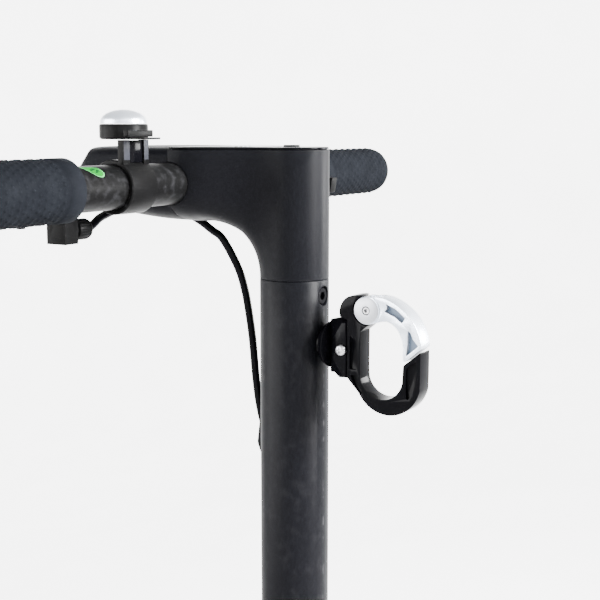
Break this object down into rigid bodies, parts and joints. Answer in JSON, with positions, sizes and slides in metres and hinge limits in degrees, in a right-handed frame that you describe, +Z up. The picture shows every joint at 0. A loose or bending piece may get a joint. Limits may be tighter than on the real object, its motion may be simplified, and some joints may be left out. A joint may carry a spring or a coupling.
{
  "type": "electric kick scooter",
  "caption": "Folding electric kick scooter with a cast handlebar head, deck, hub-motor front wheel, disc-braked rear wheel, kickstand and a spring-gate bag hook on the stem.",
  "frame": {"origin": "on the floor under the middle of the overall box", "axes": "+Z up, the scooter faces -Y, the rider's left is +X"},
  "size_m": [0.43, 1.0939, 1.1627],
  "materials": {
    "powder_coat": "fine metallic black powder coat",
    "black_alloy": "black anodised or painted casting",
    "satin_plastic": "satin black moulding",
    "gloss_black": "gloss black",
    "grip_rubber": "soft rubber with raised diamonds",
    "soft_rubber": "matt rubber",
    "tyre_rubber": "matt rubber tread",
    "cast_silver": "satin silver casting",
    "steel": "bare steel",
    "battery_wrap": "shrink wrap",
    "lens_clear": "clear lens",
    "lens_red": "red lens"
  },
  "bodies": {
    "frame": {"deck_frame": "powder_coat", "deck_mat": "soft_rubber", "bottom_cover": "satin_plastic", "battery_pack": "battery_wrap", "motor_controller": "satin_plastic", "charge_socket": "steel", "deck_neck": "powder_coat", "head_tube": "powder_coat", "lower_bearing": "steel", "upper_bearing": "steel", "rear_frame": "powder_coat", "rear_fender": "satin_plastic", "tail_light": "lens_red", "rear_axle": "steel", "brake_caliper": "black_alloy", "rear_brake_cable": "gloss_black", "kickstand_bracket": "black_alloy"},
    "fork": {"front_fork": "powder_coat", "steerer_tube": "steel", "front_axle": "steel", "front_fender": "satin_plastic", "fold_base": "black_alloy", "fold_hinge_pin": "steel"},
    "front_wheel": {"front_tyre": "tyre_rubber", "front_hub_motor": "black_alloy"},
    "rear_wheel": {"rear_tyre": "tyre_rubber", "rear_rim": "black_alloy", "brake_disc": "steel"},
    "stem": {"stem_foot": "black_alloy", "stem_tube": "powder_coat", "stem_head": "powder_coat", "stem_screw": "steel", "head_cap": "powder_coat", "headlight_lens": "lens_clear", "display_panel": "gloss_black", "handlebar_tube": "black_alloy", "grip_left": "grip_rubber", "grip_right": "grip_rubber", "lever_perch": "satin_plastic", "barrel_adjuster": "satin_plastic", "brake_cable": "gloss_black", "cable_grommet": "soft_rubber", "bell_body": "satin_plastic", "bell_cap": "cast_silver", "throttle_housing": "satin_plastic", "hook_washer": "gloss_black", "hook_bracket": "gloss_black", "hook_screw": "steel", "hook_body": "gloss_black", "hook_pivot_pin": "steel"},
    "fold_latch": {"fold_latch_lever": "black_alloy"},
    "brake_lever": {"brake_lever": "black_alloy"},
    "caliper_arm": {"caliper_arm": "steel"},
    "bell_lever": {"bell_lever": "satin_plastic"},
    "throttle_lever": {"throttle_lever": "satin_plastic"},
    "power_button": {"power_button": "satin_plastic"},
    "hook_gate": {"hook_gate": "cast_silver"},
    "kickstand": {"kickstand_leg": "black_alloy"},
    "charge_port_cap": {"charge_port_cap": "soft_rubber"}
  },
  "joints": [
    {"name": "steering", "type": "hinge", "parent": "frame", "child": "fork", "pos_m": [0, -0.37716, 0.28923], "axis": [0, 0.225, 0.9744], "range_deg": [-45, 45]},
    {"name": "front_wheel_spin", "type": "hinge", "parent": "fork", "child": "front_wheel", "pos_m": [0, -0.439, 0.108], "axis": [1, 0, 0], "continuous": true},
    {"name": "rear_wheel_spin", "type": "hinge", "parent": "frame", "child": "rear_wheel", "pos_m": [0, 0.435, 0.108], "axis": [1, 0, 0], "continuous": true},
    {"name": "stem_fold", "type": "hinge", "parent": "fork", "child": "stem", "pos_m": [0, -0.32499, 0.35519], "axis": [-1, 0, 0], "range_deg": [0, 77]},
    {"name": "fold_latch", "type": "hinge", "parent": "fork", "child": "fold_latch", "pos_m": [0, -0.39949, 0.35699], "axis": [1, 0, 0], "range_deg": [0, 100]},
    {"name": "brake_lever", "type": "hinge", "parent": "stem", "child": "brake_lever", "pos_m": [0.14, -0.28189, 1.11086], "axis": [0, 0.225, 0.9744], "range_deg": [0, 16], "stiffness_Nm_per_rad": 2, "springref_deg": -8.59},
    {"name": "caliper_arm", "type": "hinge", "parent": "frame", "child": "caliper_arm", "pos_m": [0.0485, 0.427, 0.164], "axis": [1, 0, 0], "range_deg": [0, 20.5]},
    {"name": "bell_lever", "type": "hinge", "parent": "stem", "child": "bell_lever", "pos_m": [0.088, -0.22435, 1.14448], "axis": [0, 0.225, 0.9744], "range_deg": [0, 25], "stiffness_Nm_per_rad": 0.02, "springref_deg": -17.19},
    {"name": "throttle_lever", "type": "hinge", "parent": "stem", "child": "throttle_lever", "pos_m": [-0.1085, -0.24929, 1.11873], "axis": [-1, 0, 0], "range_deg": [0, 35], "stiffness_Nm_per_rad": 0.1, "springref_deg": -11.46},
    {"name": "power_button", "type": "slide", "parent": "stem", "child": "power_button", "axis": [0, -0.225, -0.9744], "range_m": [0, 0.0008], "stiffness_N_per_m": 300},
    {"name": "hook_gate", "type": "hinge", "parent": "stem", "child": "hook_gate", "pos_m": [0, -0.15271, 1.02049], "axis": [1, 0, 0], "range_deg": [0, 50], "stiffness_Nm_per_rad": 0.05, "springref_deg": -22.92},
    {"name": "kickstand", "type": "hinge", "parent": "frame", "child": "kickstand", "pos_m": [0.087, -0.06, 0.09], "axis": [0.9562, 0.235, 0.1746], "range_deg": [0, 98]},
    {"name": "charge_port_cap", "type": "hinge", "parent": "frame", "child": "charge_port_cap", "pos_m": [0.0779, -0.205, 0.1315], "axis": [0, -1, 0], "range_deg": [0, 100]}
  ],
  "couplings": [
    {"joint": "caliper_arm", "follows": "brake_lever", "ratio": 1.25}
  ]
}
